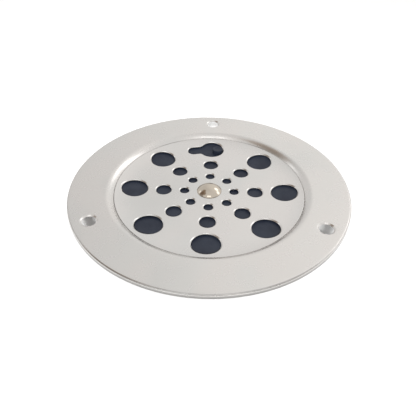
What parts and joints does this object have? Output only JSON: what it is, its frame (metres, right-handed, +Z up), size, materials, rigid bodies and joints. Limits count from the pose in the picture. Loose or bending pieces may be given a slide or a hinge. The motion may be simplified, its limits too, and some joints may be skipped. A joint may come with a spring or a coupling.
{
  "type": "floor drain grate",
  "caption": "Round stainless floor drain grate with a flanged frame ring, a perforated drop-in disc and a plastic shutter that turns on a central rivet to close the holes.",
  "frame": {"origin": "On the drain's axis, at the level of the bottom edge of the frame's collar.", "axes": "+Z is up out of the drain and is the turning axis. +Y points at the keyhole and at one screw hole. +X is to the right of a person who looks along +Y."},
  "size_m": [0.15, 0.15, 0.0157],
  "materials": {
    "frame_steel": "satin rolled stainless sheet",
    "grate_steel": "satin rolled stainless sheet",
    "rivet_nickel": "polished nickel plate",
    "shutter_plastic": "moulded, semi-matt",
    "washer_steel": "plain zinc grey"
  },
  "bodies": {
    "frame": {"frame_ring": "frame_steel"},
    "grate": {"grate_plate": "grate_steel", "pivot_rivet": "rivet_nickel", "wave_washer": "washer_steel", "rivet_washer": "washer_steel"},
    "shutter": {"shutter_plate": "shutter_plastic", "shutter_knob": "shutter_plastic"}
  },
  "joints": [
    {"name": "grate_lift", "type": "slide", "parent": "frame", "child": "grate", "axis": [0, 0, 1], "range_m": [0, 0.02]},
    {"name": "shutter_turn", "type": "hinge", "parent": "grate", "child": "shutter", "pos_m": [0, 0, 0.008], "axis": [0, 0, 1], "range_deg": [0, 21]}
  ]
}
